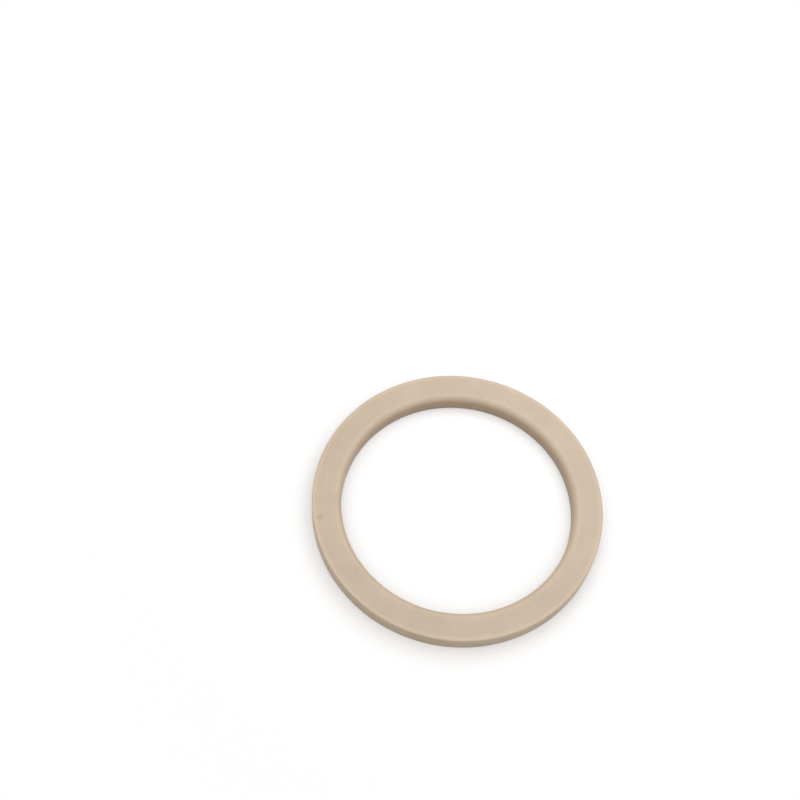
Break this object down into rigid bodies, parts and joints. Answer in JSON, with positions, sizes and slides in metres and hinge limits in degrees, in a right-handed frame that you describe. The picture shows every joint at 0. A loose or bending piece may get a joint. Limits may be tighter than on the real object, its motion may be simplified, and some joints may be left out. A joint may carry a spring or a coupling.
{
  "type": "peek gasket",
  "caption": "Flat beige plastic sealing ring of rectangular section, with a wide round at the rim of the hole on its upper face and crisp outer edges.",
  "frame": {"origin": "centre of the ring's underside, on the axis of the hole", "axes": "+Z along the ring's axis, out of the upper face, whose inner rim has the wide round; X and Y lie in the ring's plane and are alike"},
  "size_m": [0.06, 0.06, 0.0038],
  "materials": {
    "peek": "fine satin, as machined"
  },
  "bodies": {
    "root": {"gasket_ring": "peek"}
  },
  "joints": []
}
